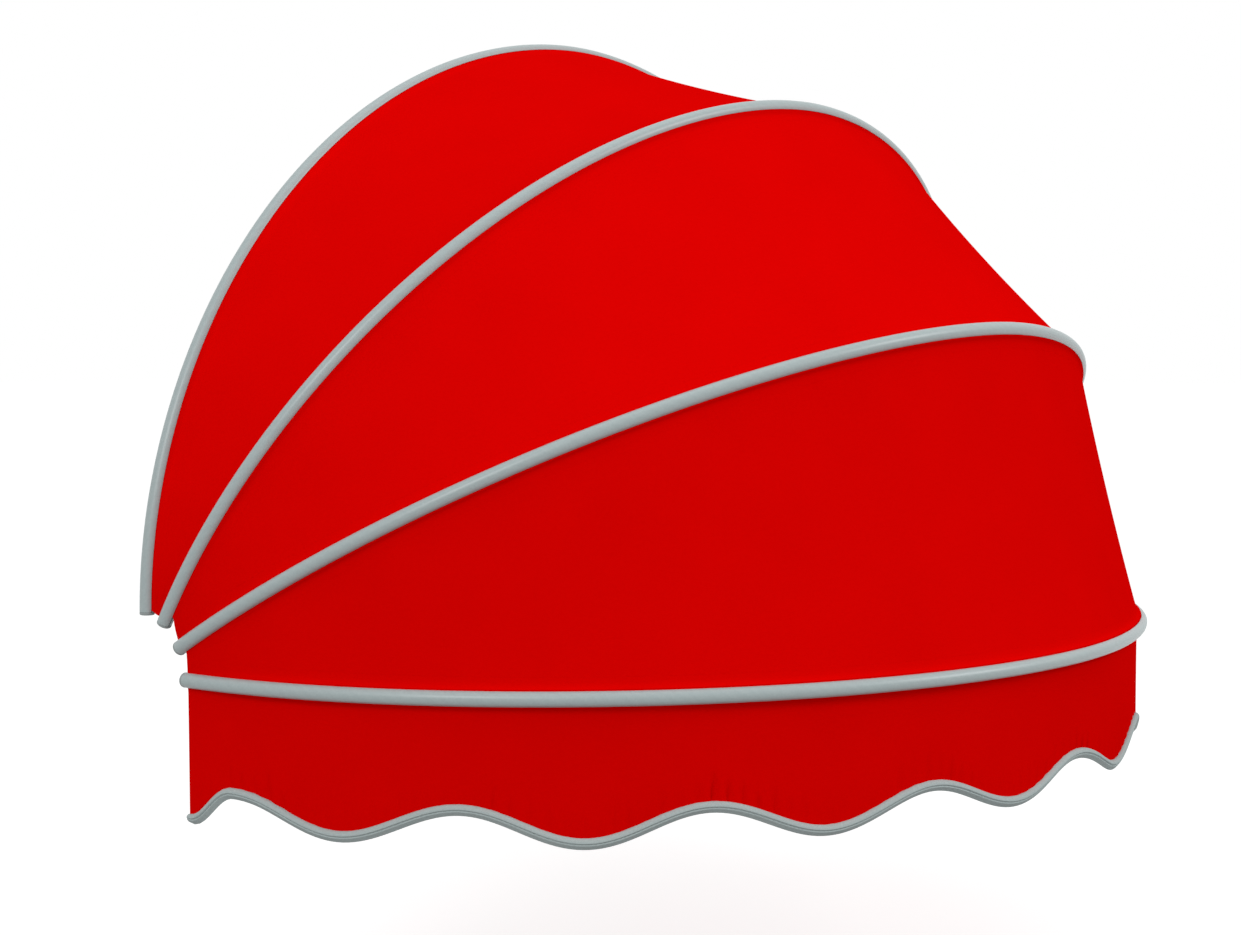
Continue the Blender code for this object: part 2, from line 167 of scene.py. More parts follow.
# closed rings joined into a skin; the ends are closed by a face, or by a strip for a sheet
def skinned(name, rings, runs, girths=None, ends="face", sharpAngle=38):
    count = len(rings[0])
    verts = [point for ring in rings for point in ring]
    girths = girths or [girthsOf(rings[len(rings) // 2])] * len(rings)
    faces, corners = [], []
    for i in range(len(rings) - 1):
        for k in range(count):
            n = (k + 1) % count
            faces.append((i * count + k, i * count + n, (i + 1) * count + n, (i + 1) * count + k))
            corners += [(runs[i], girths[i][k]), (runs[i], girths[i][k + 1]),
                        (runs[i + 1], girths[i + 1][k + 1]), (runs[i + 1], girths[i + 1][k])]
    for i, flip in ((0, True), (len(rings) - 1, False)):
        base = i * count
        if ends == "face":
            loops = [list(range(count))]
        else:
            loops = [[k, k + 1, count - k - 2, count - k - 1] for k in range(count // 2 - 1)]
        for loop in loops:
            loop = loop[::-1] if flip else loop
            faces.append(tuple(base + k for k in loop))
            corners += [(runs[i], girths[i][k]) for k in loop]
    return objectFrom(name, verts, faces, corners, sharpAngle)


# a turned piece: rings of (distance along the axis, radius); the rings named in flats are hexagons
def turnedRings(profile, start, axis, count, flats=()):
    axis = axis.normalized()
    first = axis.orthogonal().normalized()
    second = axis.cross(first)
    rings = []
    for k, (distance, radius) in enumerate(profile):
        ring = []
        for n in range(count):
            angle = 2 * math.pi * n / count
            reach = radius
            if k in flats:
                reach = radius / math.cos((angle + math.pi / 6) % (math.pi / 3) - math.pi / 6)
            spoke = first * math.cos(angle) + second * math.sin(angle)
            ring.append(start + axis * distance + spoke * reach)
        rings.append(ring)
    return rings


def turnedPiece(name, profile, start, axis, count, flats=()):
    rings = turnedRings(profile, start, axis, count, flats)
    runs = [0.0]
    for near, far in zip(profile, profile[1:]):
        runs.append(runs[-1] + math.dist(near, far))
    return skinned(name, rings, runs, sharpAngle=32)


def hold(piece, body, slotName, *nodes):
    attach(piece, body)
    if nodes:
        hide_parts(*nodes)


# shader node groups
def newGroup(name, ins, outs):
    group = bpy.data.node_groups.new(name, "ShaderNodeTree")
    for label, value in ins:
        socket = group.interface.new_socket(label, in_out="INPUT", socket_type="NodeSocketFloat")
        socket.default_value = value
    for label in outs:
        group.interface.new_socket(label, in_out="OUTPUT", socket_type="NodeSocketFloat")
    return group, group.nodes.new("NodeGroupInput"), group.nodes.new("NodeGroupOutput")


def wire(tree, node, **sources):
    for label, source in sources.items():
        numbered = label[0] == "i" and label[1:].isdigit()
        target = node.inputs[int(label[1:]) if numbered else label]
        if isinstance(source, bpy.types.NodeSocket):
            tree.links.new(source, target)
        else:
            target.default_value = source
    return node


def sumNode(tree, operation, first, second=None, third=None):
    node = tree.nodes.new("ShaderNodeMath")
    node.operation = operation
    for k, source in enumerate((first, second, third)):
        if source is not None:
            wire(tree, node, **{f"i{k}": source})
    return node.outputs[0]


def mapPlace(tree):
    layout = tree.nodes.new("ShaderNodeUVMap")
    layout.uv_map = mapName
    parts = tree.nodes.new("ShaderNodeSeparateXYZ")
    tree.links.new(layout.outputs[0], parts.inputs[0])
    return layout.outputs[0], parts.outputs[0], parts.outputs[1]


def noiseNode(tree, place, scale, detail, roughness=0.55):
    node = tree.nodes.new("ShaderNodeTexNoise")
    wire(tree, node, Vector=place, Scale=scale, Detail=detail, Roughness=roughness)
    return node.outputs["Fac"]


# how the patterns are mixed; scales are per metre
mixes = {
    "weave": {"yarnScale": 260.0, "dyeScale": 9.0, "threads": 0.5, "dye": 0.35, "yarnRelief": 0.4},
    "slant": {"wanderScale": 55.0, "wander": 9.0, "grainScale": 420.0, "grain": 0.88, "streaks": 0.12,
              "streakRelief": 0.2},
    "speckle": {"broad": 0.65, "fine": 0.35},
}
rampStops = (0.2, 0.8)


# plain weave: threads per metre, and how much the yarn varies
def makeWeaveGroup():
    group, ins, outs = newGroup("plainWeave", [("Threads", 900.0), ("Slub", 0.3)], ["Tone", "Height"])
    place, run, girth = mapPlace(group)
    mix = mixes["weave"]
    waves = []
    for part in (run, girth):
        turns = sumNode(group, "MULTIPLY", part, ins.outputs["Threads"])
        waves.append(sumNode(group, "SINE", sumNode(group, "MULTIPLY", turns, math.pi)))
    weave = sumNode(group, "MULTIPLY_ADD", sumNode(group, "MULTIPLY", *waves), 0.5, 0.5)
    yarn = noiseNode(group, place, mix["yarnScale"], 4.0)
    dye = noiseNode(group, place, mix["dyeScale"], 3.0)
    threads = sumNode(group, "MULTIPLY", weave, mix["threads"])
    mixed = sumNode(group, "MULTIPLY_ADD", yarn, ins.outputs["Slub"], threads)
    tone = sumNode(group, "MULTIPLY_ADD", dye, mix["dye"], mixed)
    group.links.new(tone, outs.inputs["Tone"])
    group.links.new(sumNode(group, "MULTIPLY_ADD", yarn, mix["yarnRelief"], weave), outs.inputs["Height"])
    return group


# slanting grain that runs round a tube or tape: streaks per metre, and their slant
def makeSlantGroup():
    group, ins, outs = newGroup("slantGrain", [("Streaks", 66.0), ("Slant", 1.2)], ["Tone", "Height"])
    place, run, girth = mapPlace(group)
    slanted = sumNode(group, "MULTIPLY_ADD", girth, ins.outputs["Slant"], run)
    turns = sumNode(group, "MULTIPLY", slanted, ins.outputs["Streaks"])
    mix = mixes["slant"]
    wander = noiseNode(group, place, mix["wanderScale"], 2.0)
    around = sumNode(group, "MULTIPLY", turns, 2 * math.pi)
    phase = sumNode(group, "MULTIPLY_ADD", wander, mix["wander"], around)
    streak = sumNode(group, "MULTIPLY_ADD", sumNode(group, "SINE", phase), 0.5, 0.5)
    grain = noiseNode(group, place, mix["grainScale"], 4.0)
    faint = sumNode(group, "MULTIPLY", streak, mix["streaks"])
    group.links.new(sumNode(group, "MULTIPLY_ADD", grain, mix["grain"], faint), outs.inputs["Tone"])
    group.links.new(sumNode(group, "MULTIPLY_ADD", streak, mix["streakRelief"], grain), outs.inputs["Height"])
    return group


# cast, rolled or moulded surface: fine speckle and larger clouds
def makeSpeckleGroup():
    group, ins, outs = newGroup("speckle", [("Fine", 900.0), ("Broad", 40.0)], ["Tone", "Height"])
    coords = group.nodes.new("ShaderNodeTexCoord").outputs["Object"]
    fine = noiseNode(group, coords, ins.outputs["Fine"], 3.0)
    broad = noiseNode(group, coords, ins.outputs["Broad"], 4.0)
    speckles = sumNode(group, "MULTIPLY", fine, mixes["speckle"]["fine"])
    tone = sumNode(group, "MULTIPLY_ADD", broad, mixes["speckle"]["broad"], speckles)
    group.links.new(tone, outs.inputs["Tone"])
    group.links.new(fine, outs.inputs["Height"])
    return group


groups = {"weave": makeWeaveGroup(), "slant": makeSlantGroup(), "speckle": makeSpeckleGroup()}

# finishes: two colours that the group's tone mixes, a range of roughness, and what the shader holds
finishes = {
    "redCanvas": {"group": "weave", "values": {"Threads": 1500.0, "Slub": 0.35},
                  "colours": ((0.625, 0.0003, 0.0002), (0.735, 0.0006, 0.0004)), "rough": (0.86, 0.95),
                  "bump": 0.25, "bumpReach": 0.0003,
                  "shader": {"Specular IOR Level": 0.0, "Sheen Weight": 0.03, "Sheen Roughness": 0.6,
                             "Sheen Tint": (1.0, 0.01, 0.005, 1)}},
    "redThread": {"group": "slant", "values": {"Streaks": 1800.0, "Slant": 1.0},
                  "colours": ((0.58, 0.0006, 0.0004), (0.70, 0.0010, 0.0006)), "rough": (0.7, 0.85),
                  "bump": 0.3, "bumpReach": 0.0002, "shader": {"Specular IOR Level": 0.0}},
    "greyTape": {"group": "slant", "values": {"Streaks": 420.0, "Slant": 0.8},
                 "colours": ((0.36, 0.42, 0.42), (0.47, 0.54, 0.535)), "rough": (0.7, 0.85),
                 "bump": 0.35, "bumpReach": 0.0004,
                 "shader": {"Specular IOR Level": 0.05, "Sheen Weight": 0.03, "Sheen Roughness": 0.5}},
    "greyThread": {"group": "slant", "values": {"Streaks": 1800.0, "Slant": 1.0},
                   "colours": ((0.30, 0.35, 0.35), (0.42, 0.46, 0.46)), "rough": (0.6, 0.75),
                   "bump": 0.3, "bumpReach": 0.0002, "shader": {"Specular IOR Level": 0.2}},
    "tubeGrey": {"group": "slant", "values": {"Streaks": 66.0, "Slant": 1.2},
                 "colours": ((0.345, 0.41, 0.415), (0.41, 0.475, 0.475)), "rough": (0.32, 0.42),
                 "bump": 0.03, "bumpReach": 0.0002, "shader": {"Specular IOR Level": 0.45}},
    "plugNylon": {"group": "speckle", "values": {"Fine": 1400.0, "Broad": 120.0},
                  "colours": ((0.27, 0.31, 0.31), (0.36, 0.40, 0.40)), "rough": (0.5, 0.65),
                  "bump": 0.15, "bumpReach": 0.0002, "shader": {"Specular IOR Level": 0.4}},
    "hingeSteel": {"group": "speckle", "values": {"Fine": 700.0, "Broad": 60.0},
                   "colours": ((0.50, 0.51, 0.52), (0.68, 0.69, 0.70)), "rough": (0.3, 0.45),
                   "bump": 0.1, "bumpReach": 0.0002, "shader": {"Metallic": 1.0}},
    "screwSteel": {"group": "speckle", "values": {"Fine": 1500.0, "Broad": 200.0},
                   "colours": ((0.58, 0.58, 0.58), (0.74, 0.74, 0.73)), "rough": (0.2, 0.34),
                   "bump": 0.05, "bumpReach": 0.0001, "shader": {"Metallic": 1.0}},
}


def makeFinish(name, finish):
    material = bpy.data.materials.new(name)
    material.use_nodes = True
    tree = material.node_tree
    shader = tree.nodes["Principled BSDF"]
    pattern = tree.nodes.new("ShaderNodeGroup")
    pattern.node_tree = groups[finish["group"]]
    wire(tree, pattern, **finish["values"])
    colour = tree.nodes.new("ShaderNodeValToRGB")
    for stop, position, shade in zip(colour.color_ramp.elements, rampStops, finish["colours"]):
        stop.position, stop.color = position, (*shade, 1)
    rough = tree.nodes.new("ShaderNodeMapRange")
    wire(tree, colour, Fac=pattern.outputs["Tone"])
    wire(tree, rough, Value=pattern.outputs["Tone"])
    rough.inputs["To Min"].default_value, rough.inputs["To Max"].default_value = finish["rough"]
    bump = tree.nodes.new("ShaderNodeBump")
    wire(tree, bump, Height=pattern.outputs["Height"], Strength=finish["bump"], Distance=finish["bumpReach"])
    tree.links.new(colour.outputs["Color"], shader.inputs["Base Color"])
    tree.links.new(rough.outputs["Result"], shader.inputs["Roughness"])
    tree.links.new(bump.outputs["Normal"], shader.inputs["Normal"])
    for label, value in finish["shader"].items():
        shader.inputs[label].default_value = value
    return material


materials = {name: makeFinish(name, finish) for name, finish in finishes.items()}
print("finishes ready")

# bow tubes
tube = {
    "radius": 0.0082,
    "mouthHalf": 0.0007,
    "lip": 0.0015,
    "lipRound": 0.0004,
    "chamberDepth": 0.0026,
    "chamberHalf": 0.0018,
    "arcSteps": 18,
    "plugHead": 0.0035,
    "plugRound": 0.0016,
    "plugShank": 0.0026,
    "plugRoundSteps": 5,
    "plugSides": 48,
    "shankLength": 0.006,
    "seam": 0.0003,
    "seamRound": 0.0003,
    "lipFacet": (0.3, 0.7),  # where the lip's rounding is cut: shares inward and outward
}


def tubeOutline():
    radius, mouth, lipRound = tube["radius"], tube["mouthHalf"], tube["lipRound"]
    start = math.asin((mouth + lipRound) / radius)
    top = radius - tube["lip"]
    floor = top - tube["chamberDepth"]
    outline = []
    for sign in (1, -1):
        for k in range(tube["arcSteps"] + 1):
            angle = start + (math.pi - 2 * start) * k / tube["arcSteps"]
            outline.append((sign * radius * math.sin(angle), sign * radius * math.cos(angle)))
        rim = radius * math.cos(start) - lipRound
        half = tube["chamberHalf"]
        inward, outer = (lipRound * share for share in tube["lipFacet"])
        for a, b in ((mouth + inward, rim + outer), (mouth, rim), (mouth, top), (half, top), (half, floor),
                     (-half, floor), (-half, top), (-mouth, top), (-mouth, rim),
                     (-mouth - inward, rim + outer)):
            outline.append((sign * a, -sign * b))
    return outline


def makeBow(bow):
    stations = bowStations(bow, fan["stations"], tube["plugHead"])
    outline = tubeOutline()
    rings = [[place + outward * a + across * b for a, b in outline]
             for place, outward, across, run, turn in stations]
    piece = skinned(f"tube_{bow}", rings, [s[3] for s in stations], sharpAngle=30)
    piece.data.materials.append(materials["tubeGrey"])
    hold(piece, f"{bow}_frame", "bow_tube", f"{bow}_bow")
    radius, edge, head = tube["radius"], tube["plugRound"], tube["plugHead"]
    profile = [(-head, radius - edge)]
    for k in range(1, tube["plugRoundSteps"] + 1):
        angle = math.pi / 2 * k / tube["plugRoundSteps"]
        profile.append((-head + edge * (1 - math.cos(angle)), radius - edge + edge * math.sin(angle)))
    seam, seamRound, shank = tube["seam"], tube["seamRound"], tube["plugShank"]
    profile += [(-seam - seamRound, radius), (-seam, radius - seamRound), (-seam, shank),
                (tube["shankLength"], shank)]
    for sideName, end, inner in (("left", stations[0], stations[1]), ("right", stations[-1], stations[-2])):
        plug = turnedPiece(f"plug_{bow}_{sideName}", profile, end[0], inner[0] - end[0], tube["plugSides"])
        plug.data.materials.append(materials["plugNylon"])
        hold(plug, f"{bow}_frame", "end_plug", f"{bow}_bow_plug_{sideName}")


for bowName in fan["angles"]:
    makeBow(bowName)
print("bows and plugs ready")

# canvas panels between the bows
canvas = {
    "thickness": 0.0008,
    "bead": 0.0030,
    "beadTaper": 0.0016,
    "beadTip": 0.6,  # the bead's innermost edge, as a share of its thickness
    "beadGap": 0.0003,
    "beadRound": 0.0006,
    "standOff": 0.0015,
    "sag": {"top": 0.006, "middle": 0.006, "front": 0.003},
    "tuck": 0.0042,  # the cloth turns in under the tube, so that the tube stands proud of it
    "tuckRun": 0.0020,
    "fullTuckSpan": 0.10,
    # how far each panel's corners stay from the plugs: beside its first bow, beside its second bow
    "endInsets": {"top": (0.0015, 0.0015), "middle": (0.0120, 0.0010), "front": (0.0060, 0.0020)},
    "endHollow": {"top": -0.001, "middle": -0.0015, "front": 0.0},
    "endRun": 0.10,  # the tuck grows from nothing over this length
    "hollowRun": 0.12,
    "across": 22,
    "hem": 0.016,  # the double layer beside each bow, on the inside
    "hemStep": 0.0007,
    "hemMost": 0.3,  # of the span, where the panel is narrow
    "hemShares": (0.12, 0.25, 0.45),  # extra lines in the hem, where the cloth curves most
    "seamFromEdge": 0.003,
    "seamLeast": 0.6,  # of the hem, where it is narrow
    "foldBand": 0.130,  # to each side of the middle, where a panel turns from one bow to the next
}
panels = {
    "top": ("wall", "upper"),
    "middle": ("upper", "middle"),
    "front": ("middle", "front"),
}


# the part of a sheet that sits in a bow's groove: place, normal, half thickness outside and inside
def grooveEdge(place, outward, across):
    bead, cloth = canvas["bead"] / 2, canvas["thickness"] / 2
    top = tube["radius"] - tube["lip"]
    floor = top - tube["chamberDepth"]
    beadEnd = top - canvas["beadRound"]
    profile = [(floor + canvas["beadGap"], bead * canvas["beadTip"]), (floor + canvas["beadRound"], bead),
               (beadEnd, bead), (beadEnd + canvas["beadTaper"], cloth),
               (tube["radius"] + canvas["standOff"], cloth)]
    return [(place + across * reach, outward, half, half) for reach, half in profile]


def sheetRing(line):
    return [p + n * out for p, n, out, back in line] + [p - n * back for p, n, out, back in reversed(line)]


# one line across a panel, from groove to groove; the marks are distances, and whether the cloth is double
def panelLine(panelName, near, far, whole, upward):
    nearEdge = grooveEdge(near[0], near[1], near[2])
    farEdge = grooveEdge(far[0], far[1], -far[2])
    normal = (near[1] + far[1]).normalized()
    start, end = nearEdge[-1][0], farEdge[-1][0]
    span = (end - start).length
    hem = min(canvas["hem"], canvas["hemMost"] * span)
    seam = max(hem - canvas["seamFromEdge"], canvas["seamLeast"] * hem)
    hemMarks = [(share * hem, True) for share in canvas["hemShares"]]
    hemMarks += [(seam, True), (hem, True), (hem + canvas["hemStep"], False)]
    inner = [hem + (span - 2 * hem) * k / canvas["across"] for k in range(1, canvas["across"])]
    marks = hemMarks + [(reach, False) for reach in inner]
    marks += [(span - reach, doubled) for reach, doubled in hemMarks[::-1]]
    half = canvas["thickness"] / 2
    fromEnd = min(near[3], whole - near[3])
    ends = max(1 - fromEnd / canvas["hollowRun"], 0) ** 2 * canvas["endHollow"][panelName]
    fullTuck = canvas["tuck"] * min(fromEnd / canvas["endRun"], 1) * min(span / canvas["fullTuckSpan"], 1)
    middle = []
    for reach, doubled in marks:
        bow = 4 * (reach / span) * (1 - reach / span)
        tuck = fullTuck * (1 - math.exp(-min(reach, span - reach) / canvas["tuckRun"]))
        depth = canvas["sag"][panelName] * bow * math.sin(near[4]) + tuck
        place = start.lerp(end, reach / span) - normal * depth + upward * ends * bow
        middle.append((place, normal, half, half + (canvas["hemStep"] if doubled else 0)))
    line = nearEdge[:-1] + [(start, near[1], half, half + canvas["hemStep"])] + middle
    line += [(end, far[1], half, half + canvas["hemStep"])] + farEdge[:-1][::-1]
    sewn = len(nearEdge) + len(canvas["hemShares"])
    return line, span, (sewn, len(line) - 1 - sewn)


def makePanel(panelName, nearBow, farBow):
    nears, fars = [bowStations(bow, fan["stations"], tube["plugHead"] + inset)
                   for bow, inset in zip((nearBow, farBow), canvas["endInsets"][panelName])]
    upward = alongAngle((fan["angles"][nearBow] + fan["angles"][farBow]) / 2)
    whole = nears[-1][3] + nears[0][3]
    rings, girths, spans, seams = [], [], [], ([], [])
    for near, far in zip(nears, fars):
        line, span, sewn = panelLine(panelName, near, far, whole, upward)
        rings.append(sheetRing(line))
        spans.append(span)
        girth = [-span / 2 - tube["radius"]]
        for before, after in zip(line, line[1:]):
            girth.append(girth[-1] + (after[0] - before[0]).length)
        girths.append(girth + girth[::-1] + [girth[0]])
        for seam, k in zip(seams, sewn):
            seam.append((line[k][0] - line[k][1] * canvas["hemStep"] / 2, line[k][1]))
    piece = skinned(f"canvas_{panelName}", rings, [s[3] for s in nears], girths, ends="strip", sharpAngle=50)
    piece.data.materials.append(materials["redCanvas"])
    centres = [(b[0] + f[0]) / 2 for b, f in zip(nears, fars)]
    longest = sum((b - a).length for a, b in zip(centres, centres[1:]))
    area = sum((s + t) / 2 for s, t in zip(spans, spans[1:])) * longest / (len(spans) - 1)
    return piece, seams, max(spans), longest, area


# a row of stitches through the cloth, along a line of (place, normal)
stitch = {
    "pitch": 0.0050,
    "length": 0.0036,
    "width": 0.0005,
    "height": 0.00172,
    "sides": 6,
    "rings": ((-0.5, 0.45), (-0.3, 1.0), (0.3, 1.0), (0.5, 0.45)),  # place along it, and thickness there
    "endHeight": (0.82, 0.18),  # at its ends: a fixed share, and a share of the thickness there
    "mapRun": 0.001,
    "mapGirth": 0.0004,
}


def stitchRow(name, lines, height):
    verts, faces, corners = [], [], []
    for line in lines:
        travelled = [0.0]
        for near, far in zip(line, line[1:]):
            travelled.append(travelled[-1] + (far[0] - near[0]).length)
        count = int(travelled[-1] / stitch["pitch"])
        k = 0
        for n in range(count):
            run = (n + 0.5) * travelled[-1] / count
            while k < len(line) - 2 and travelled[k + 1] < run:
                k += 1
            share = (run - travelled[k]) / (travelled[k + 1] - travelled[k])
            centre = line[k][0].lerp(line[k + 1][0], share)
            normal = line[k][1].lerp(line[k + 1][1], share).normalized()
            along = (line[k + 1][0] - line[k][0]).normalized()
            beside = along.cross(normal).normalized()
            for reach, size in stitch["rings"]:
                tall = stitch["endHeight"][0] + stitch["endHeight"][1] * size if size < 1 else 1
                for m in range(stitch["sides"]):
                    angle = 2 * math.pi * (m + 0.5) / stitch["sides"]
                    verts.append(centre + along * reach * stitch["length"]
                                 + beside * math.cos(angle) * stitch["width"] / 2 * size
                                 + normal * math.sin(angle) * height / 2 * tall)
            base, around = len(verts) - 4 * stitch["sides"], stitch["sides"]
            farRun, girth = run + stitch["mapRun"], stitch["mapGirth"]
            for ring in range(3):
                for m in range(around):
                    low, high = base + ring * around, base + (ring + 1) * around
                    nextOne = (m + 1) % around
                    faces.append((low + m, low + nextOne, high + nextOne, high + m))
                    corners += [(run, m * girth), (run, (m + 1) * girth), (farRun, (m + 1) * girth),
                                (farRun, m * girth)]
            faces.append(tuple(base + m for m in reversed(range(around))))
            faces.append(tuple(base + 3 * around + m for m in range(around)))
            corners += [(run, m * girth) for m in range(2 * around)]
    return objectFrom(name, verts, faces, corners, 50)


def foldBetween(piece):
    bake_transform(piece)


for panelName, (nearBow, farBow) in panels.items():
    panel, seams, widest, longest, flatArea = makePanel(panelName, nearBow, farBow)
    seamRows = stitchRow(f"canvas_{panelName}_stitching", seams, stitch["height"])
    seamRows.data.materials.append(materials["redThread"])
    for piece in (panel, seamRows):
        foldBetween(piece)
    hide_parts(f"canvas_panel_{panelName}")
    print(f"panel {panelName}: {widest:.3f} by {longest:.3f} m, area {flatArea:.4f} m2")

# valance
valance = {
    "depth": 0.133,
    "endInset": 0.0025,
    "tuck": 0.0054,
    "scallop": 0.017,
    "count": 8,
    "endRun": 0.066,
    "endLow": 0.010,
    "stations": 1400,
    "rows": 28,
    "rowCrowd": 1.5,  # the rows lie closer together near the bow
    "pinch": 0.0085,  # short upright creases above the binding, most where it rises
    "pinchPitch": 0.017,
    "pinchHeight": 0.050,
    "lazy": 0.0012,
    "keepWhenFolded": 0.3,
}


def swingAt(run, whole):
    fromEnd = min(run, whole - run)
    if fromEnd < valance["endRun"]:
        return -math.cos(math.pi * (fromEnd - valance["endLow"]) / (valance["endRun"] - valance["endLow"]))
    pitch = (whole - 2 * valance["endRun"]) / valance["count"]
    return math.cos(2 * math.pi * (run - valance["endRun"]) / pitch)


folds = {
    "endRun": 0.03,  # the folds grow from nothing over this length
    "drifts": {  # how fast each wanders along the cloth, and where in the noise it starts
        "wander": (11, 0.3, 1.7),
        "strength": (31, 4.1, 0.2),
        "reach": (47, 1.1, 7.2),
        "lazy": (3, 2.2, 0.9),
    },
    "wanderTurn": 2.2,
    "strengthSpread": 1.1,
    "strengthMiddle": 0.62,
    "pullLeast": 0.35,
    "pullRise": 0.65,
    "pullLag": 0.02,
    "reachMiddle": 0.6,
    "reachSpread": 0.5,
    "reachLeast": 0.01,
    "sharpness": 1.3,
    "hemFade": 0.005,
    "lazyPitch": 0.19,
    "lazyTurn": 2,
}


def driftAt(name, run):
    rate, row, layer = folds["drifts"][name]
    return noise.noise(Vector((run * rate, row, layer)))


# how far the cloth lies behind its plane: pinched creases near the binding, and one long lazy wave
def foldsAt(run, whole, share, aboveHem):
    near = min(min(run, whole - run) / folds["endRun"], 1.0)
    wander = driftAt("wander", run) * folds["wanderTurn"]
    crease = abs(math.sin(math.pi * run / valance["pinchPitch"] + wander))
    strength = max(driftAt("strength", run) * folds["strengthSpread"] + folds["strengthMiddle"], 0.0)
    pull = folds["pullLeast"] + folds["pullRise"] * max(swingAt(run - folds["pullLag"], whole), 0.0)
    reach = valance["pinchHeight"] * (folds["reachMiddle"] + folds["reachSpread"] * driftAt("reach", run))
    height = max(1 - aboveHem / max(reach, folds["reachLeast"]), 0.0) ** folds["sharpness"]
    height *= 1 - math.exp(-aboveHem / folds["hemFade"])
    lazyWave = math.sin(2 * math.pi * run / folds["lazyPitch"] + folds["lazyTurn"] * driftAt("lazy", run))
    pinch = (1 - crease) ** folds["sharpness"] * strength * pull * height * valance["pinch"]
    return near * (lazyWave * share ** 2 * valance["lazy"] - pinch)


def makeValance():
    down = acrossAngle(90)
    stations = bowStations("front", valance["stations"], tube["plugHead"] + valance["endInset"])
    whole = stations[-1][3] + stations[0][3]
    rings, girths, hemLine = [], [], []
    for place, outward, across, run, turn in stations:
        depth = valance["depth"] - valance["scallop"] * swingAt(run, whole)
        edge = grooveEdge(place, outward, down)
        top = tube["radius"] + canvas["standOff"]
        line = edge[:-1]
        for k in range(valance["rows"] + 1):
            share = (k / valance["rows"]) ** valance["rowCrowd"]
            reach = top + (depth - top) * share
            tuck = valance["tuck"] * (1 - math.exp(-(reach - top) / canvas["tuckRun"]))
            endShare = min(min(run, whole - run) / canvas["endRun"], 1)
            offset = foldsAt(run, whole, share, depth - reach) - tuck * endShare
            line.append((place + down * reach + outward * offset, outward, canvas["thickness"] / 2,
                         canvas["thickness"] / 2))
        rings.append(sheetRing(line))
        girth = [0.0]
        for near, far in zip(line, line[1:]):
            girth.append(girth[-1] + (far[0] - near[0]).length)
        girths.append(girth + girth[::-1] + [0.0])
        hemLine.append((line[-1][0], outward, run))
    piece = skinned("valance_cloth", rings, [s[3] for s in stations], girths, ends="strip", sharpAngle=60)
    piece.data.materials.append(materials["redCanvas"])
    return piece, hemLine, whole


binding = {
    "height": 0.0122,
    "thickness": 0.0106,
    "grip": 0.0058,
    "sides": 28,
    "taper": 0.80,  # how much thinner the lower roll gets towards its bottom
    "waist": 0.0018,  # how deep the furrow between its two rolls is
    "waistSpread": 0.15,
    "step": 4,  # every so many of the valance's stations
    "endSizes": (0.72, 0.95),
    "endReach": 0.002,
    "seamTrim": 2,
    "stitchProud": 0.0006,
}


def makeBinding(hemLine):
    places = hemLine[::binding["step"]]
    rings, runs, seamLine = [], [], []
    for k, (place, outward, run) in enumerate(places):
        along = (places[min(k + 1, len(places) - 1)][0] - places[max(k - 1, 0)][0]).normalized()
        below = along.cross(outward).normalized()
        centre = place - below * (binding["grip"] - binding["height"] / 2)
        closing = min(k, len(places) - 1 - k)
        size = (*binding["endSizes"], 1.0)[min(closing, 2)]
        if closing == 0:
            centre = centre - along * (binding["endReach"] if k == 0 else -binding["endReach"])
        ring = []
        for n in range(binding["sides"]):
            angle = 2 * math.pi * n / binding["sides"]
            furrow = math.exp(-(math.cos(angle) / binding["waistSpread"]) ** 2)
            deep = binding["thickness"] / 2 - binding["waist"] * furrow
            deep *= 1 - binding["taper"] * max(-math.cos(angle), 0)
            wide = math.sin(angle)
            ring.append(centre + outward * wide * deep * size
                        - below * math.cos(angle) * binding["height"] / 2 * size)
        rings.append(ring)
        runs.append(run)
        seamLine.append((centre, outward))
    piece = skinned("valance_tape", rings, runs, sharpAngle=50)
    piece.data.materials.append(materials["greyTape"])
    return piece, seamLine[binding["seamTrim"]:-binding["seamTrim"]]


cloth, hemLine, frontLength = makeValance()
tape, tapeSeam = makeBinding(hemLine)
tapeStitchHeight = binding["thickness"] - 2 * binding["waist"] + binding["stitchProud"]
tapeStitches = stitchRow("valance_stitching", [tapeSeam], tapeStitchHeight)
tapeStitches.data.materials.append(materials["greyThread"])
hold(cloth, "front_frame", "canvas", "valance")
hold(tape, "front_frame", "binding", "valance_binding")
hold(tapeStitches, "front_frame", "binding")
for piece in (cloth, tape, tapeStitches):
    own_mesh(piece)
print(f"valance ready: {frontLength:.3f} m long")

# hinges
hinge = {
    "thickness": 0.0040,
    "linkRadius": 0.0100,
    "seatGap": 0.0050,
    "bossRadius": 0.0070,
    "pivotReach": 0.0143,
    "fixingReach": 0.0460,
    "wallReaches": (0.0160, 0.0420),
    "runGap": 0.0005,
    "flangeWidth": 0.036,
    "flangeMargin": 0.0080,
    "holeRadius": 0.0028,
    "holeSpacing": 0.032,
    "flangeOverlap": 0.0012,  # how far the flange starts inside the plate
    "holeStart": -0.008,
    "holeLength": 0.012,
    "holeSides": 28,
    "bossSides": 36,
    "bossGap": 0.0002,
    "bevel": 0.0006,
    "bevelSegments": 3,
    "bevelAngle": 40,
    "roundSteps": 40,
    "straightness": 1e-12,  # below this, three points of an outline are on one line
}
layerOne = fan["halfWidth"] - tube["radius"] - hinge["seatGap"]
layerTwo = layerOne - hinge["thickness"] - hinge["runGap"]
